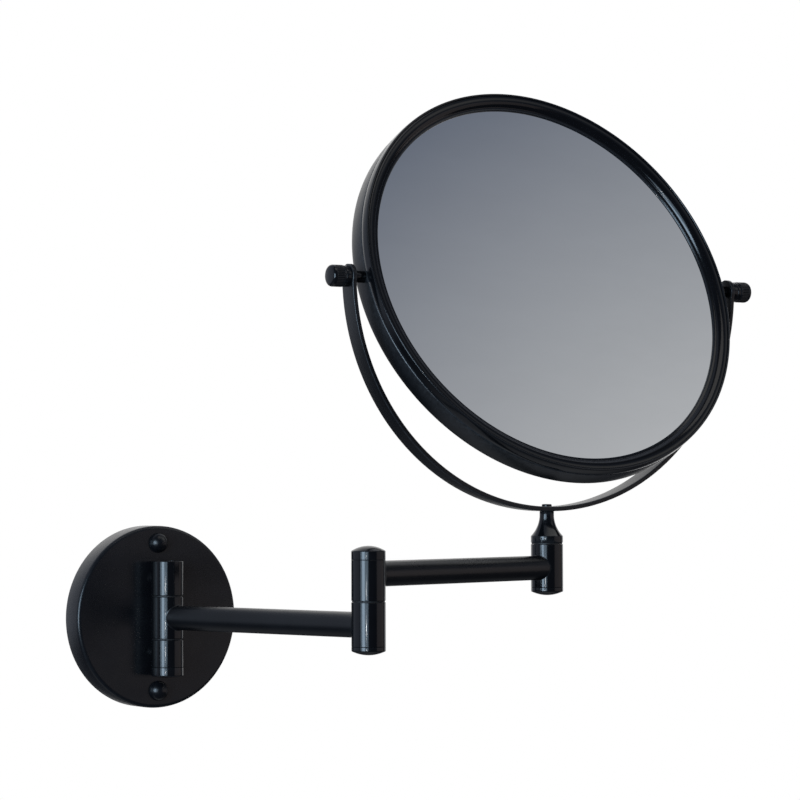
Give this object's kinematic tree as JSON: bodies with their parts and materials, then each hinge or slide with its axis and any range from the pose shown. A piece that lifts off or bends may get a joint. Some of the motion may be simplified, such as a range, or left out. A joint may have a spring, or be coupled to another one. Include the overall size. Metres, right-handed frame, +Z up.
{
  "type": "extendable shaving mirror",
  "caption": "Round double-sided mirror that tilts in a half-ring yoke, carried on a folding tubular arm that swings from a round wall plate.",
  "frame": {"origin": "centre of the wall plate's back, on the wall", "axes": "+Y into the wall, -Y into the room, +Z up, +X to the right seen from the room"},
  "size_m": [0.331, 0.169, 0.3092],
  "materials": {
    "satin_black": "satin black-grey powder coat",
    "gloss_black": "glossy black-grey plating",
    "mirror_silver": "polished silvered glass",
    "steel": "plain turned and stamped steel",
    "washer_nylon": "matte black nylon",
    "grey_board": "matte grey board"
  },
  "bodies": {
    "wall_mount": {"wall_plate": "satin_black", "wall_knuckle_upper": "gloss_black", "wall_knuckle_lower": "gloss_black", "knuckle_screws": "steel", "screw_cups": "washer_nylon", "screw_caps": "satin_black", "wall_hinge_pin": "steel", "wall_hinge_spring": "steel", "wall_hinge_nut": "steel", "wall_hinge_cap": "gloss_black", "wall_hinge_washers": "washer_nylon"},
    "inner_arm": {"inner_knuckle": "gloss_black", "inner_tube": "satin_black", "elbow_lower_knuckle": "gloss_black", "elbow_lower_cap": "gloss_black", "elbow_washer": "washer_nylon", "elbow_pin": "steel", "elbow_spring": "steel", "elbow_nut": "steel"},
    "outer_arm": {"elbow_upper_knuckle": "gloss_black", "elbow_upper_cap": "gloss_black", "outer_tube": "satin_black", "mirror_hub": "gloss_black", "mirror_hub_cap": "gloss_black"},
    "yoke": {"swivel_washer": "washer_nylon", "swivel_neck": "gloss_black", "swivel_spindle": "steel", "swivel_spring": "steel", "swivel_nut": "steel", "yoke_strap": "satin_black"},
    "mirror_head": {"front_ring": "satin_black", "rear_shell": "satin_black", "front_glass": "mirror_silver", "rear_glass": "mirror_silver", "backing_board": "grey_board", "spacer_ring": "grey_board", "pivot_studs": "steel", "pivot_bushes": "gloss_black", "pivot_washers": "gloss_black", "extra_washer": "gloss_black"},
    "knob_left": {"knob_left": "gloss_black"},
    "knob_right": {"knob_right": "gloss_black"}
  },
  "joints": [
    {"name": "wall_hinge", "type": "hinge", "parent": "wall_mount", "child": "inner_arm", "pos_m": [0, -0.0215, 0], "axis": [0, 0, 1], "range_deg": [-100, 73]},
    {"name": "elbow_hinge", "type": "hinge", "parent": "inner_arm", "child": "outer_arm", "pos_m": [0.03105, -0.15082, 0], "axis": [0, 0, 1], "range_deg": [-240, 60]},
    {"name": "yoke_swivel", "type": "hinge", "parent": "outer_arm", "child": "yoke", "pos_m": [0.16037, -0.11978, 0.0236], "axis": [0, 0, 1], "continuous": true},
    {"name": "mirror_tilt", "type": "hinge", "parent": "yoke", "child": "mirror_head", "pos_m": [0.16037, -0.11978, 0.1646], "axis": [0.9969, -0.0785, 0], "continuous": true},
    {"name": "knob_left_turn", "type": "hinge", "parent": "mirror_head", "child": "knob_left", "pos_m": [0.16037, -0.11978, 0.1646], "axis": [-0.9969, 0.0785, 0], "continuous": true},
    {"name": "knob_right_turn", "type": "hinge", "parent": "mirror_head", "child": "knob_right", "pos_m": [0.16037, -0.11978, 0.1646], "axis": [0.9969, -0.0785, 0], "continuous": true}
  ]
}
